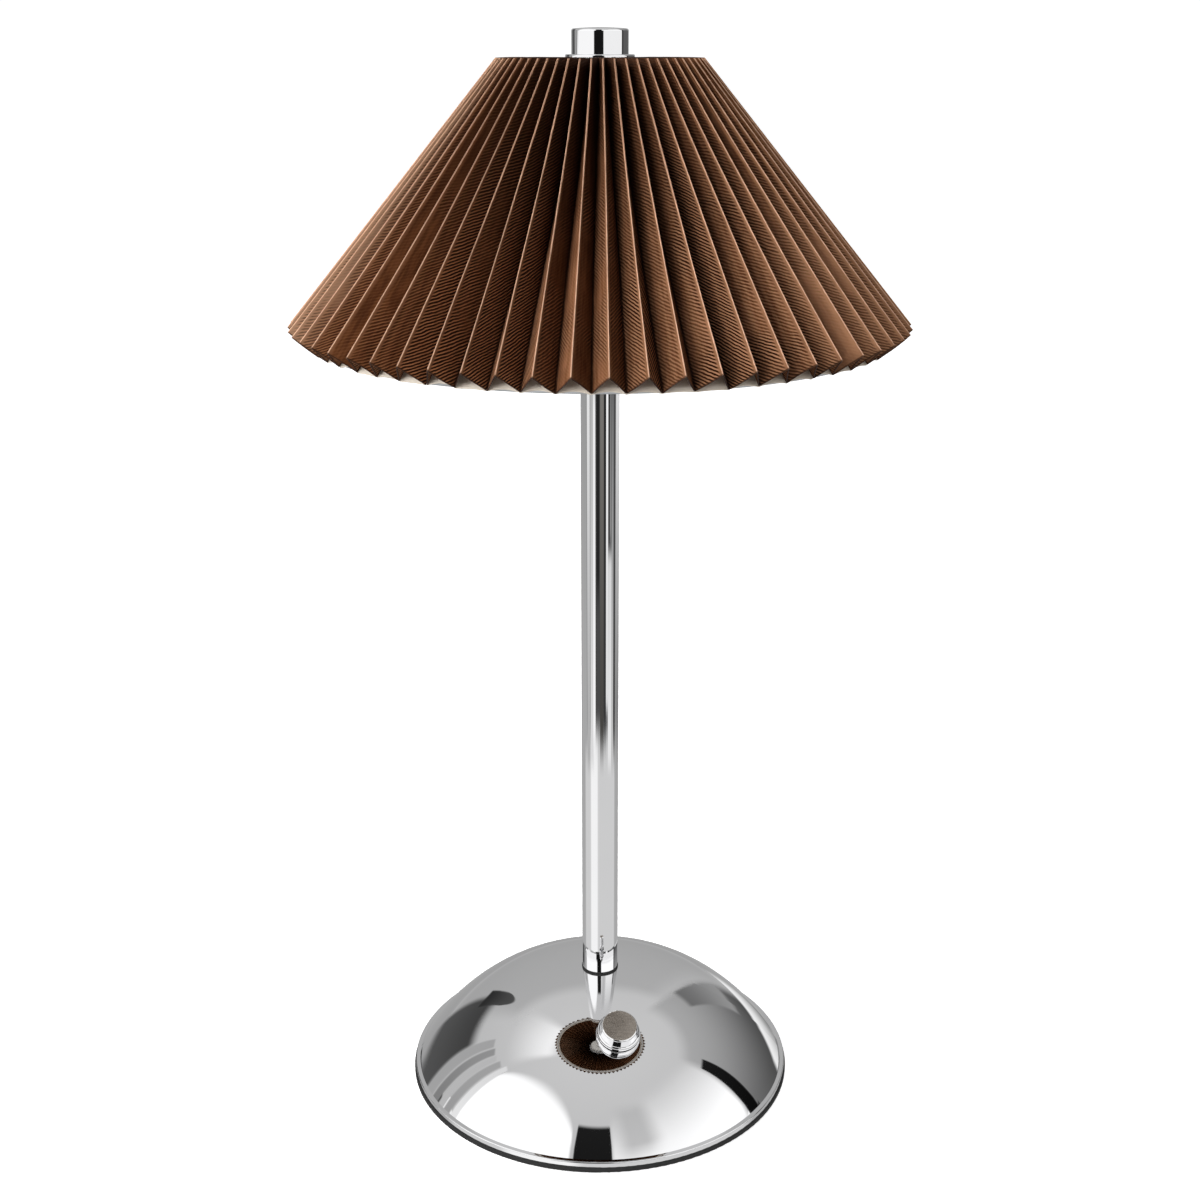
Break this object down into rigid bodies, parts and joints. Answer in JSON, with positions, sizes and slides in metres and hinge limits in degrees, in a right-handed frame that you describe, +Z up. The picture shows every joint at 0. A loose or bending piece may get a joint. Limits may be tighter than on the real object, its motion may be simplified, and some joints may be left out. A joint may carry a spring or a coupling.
{
  "type": "pleated table lamp",
  "caption": "Table lamp: pleated cone shade held by a finial nut on a straight stem, over a dome base with a rotary dimmer knob and a charging port",
  "frame": {"origin": "on the floor, under the middle of the base", "axes": "+Z up along the stem, -Y towards the front, where the dimmer knob is; +X to the right seen from there"},
  "size_m": [0.2476, 0.2476, 0.4529],
  "materials": {
    "chrome": "polished",
    "black_rubber": "matt",
    "black_plastic": "fine texture",
    "cast_iron": "as cast",
    "zinc_steel": "bright zinc plate",
    "green_board": "solder mask",
    "white_board": "white solder mask",
    "led_phosphor": "cast silicone",
    "cell_wrap": "shrink film",
    "aluminium": "satin",
    "opal_plastic": "opal",
    "cable_sheath": "smooth",
    "brown_fabric": "fine diagonal rib, pleated",
    "cream_fabric": "plain"
  },
  "bodies": {
    "base": {"dome_shell": "chrome", "foot_ring": "black_rubber", "base_plate": "black_plastic", "base_plate_screws": "zinc_steel", "base_weight": "cast_iron", "rod_nut": "zinc_steel", "rod_washer": "zinc_steel", "centre_spacer": "zinc_steel", "threaded_rod": "zinc_steel", "battery_cells": "cell_wrap", "battery_cradles": "black_plastic", "control_board": "green_board", "board_standoffs": "black_plastic", "usb_socket": "zinc_steel", "usb_board": "green_board", "usb_bezel": "black_plastic", "dimmer_body": "zinc_steel", "dimmer_nut": "zinc_steel", "knob_collar": "chrome", "stem_gasket": "black_rubber", "stem_tube": "chrome", "stem_cap_nut": "chrome", "led_housing": "aluminium", "led_set_screw": "zinc_steel", "led_board": "white_board", "led_chips": "led_phosphor", "diffuser": "opal_plastic", "led_cable": "cable_sheath"},
    "knob": {"dimmer_shaft": "zinc_steel", "dimmer_knob": "chrome"},
    "shade": {"shade_spider": "zinc_steel", "shade_bottom_ring": "zinc_steel", "shade_liner": "cream_fabric", "shade_pleats": "brown_fabric"},
    "finial_rider": {"finial_washer": "chrome"},
    "finial": {"finial": "chrome"}
  },
  "joints": [
    {"name": "knob_turn", "type": "hinge", "parent": "base", "child": "knob", "pos_m": [0.00787, -0.04248, 0.03854], "axis": [-0.0783, 0.4227, -0.9029], "range_deg": [0, 300]},
    {"name": "shade_lift", "type": "slide", "parent": "base", "child": "shade", "axis": [0, 0, 1], "range_m": [0, 0.13]},
    {"name": "finial_rise", "type": "slide", "parent": "shade", "child": "finial_rider", "axis": [0, 0, 1], "range_m": [0, 0.007]},
    {"name": "finial_turn", "type": "hinge", "parent": "finial_rider", "child": "finial", "pos_m": [0, 0, 0.4431], "axis": [0, 0, 1], "range_deg": [0, 2520]}
  ],
  "couplings": [
    {"joint": "finial_rise", "follows": "finial_turn", "m_per_rad": 0.00015915}
  ]
}
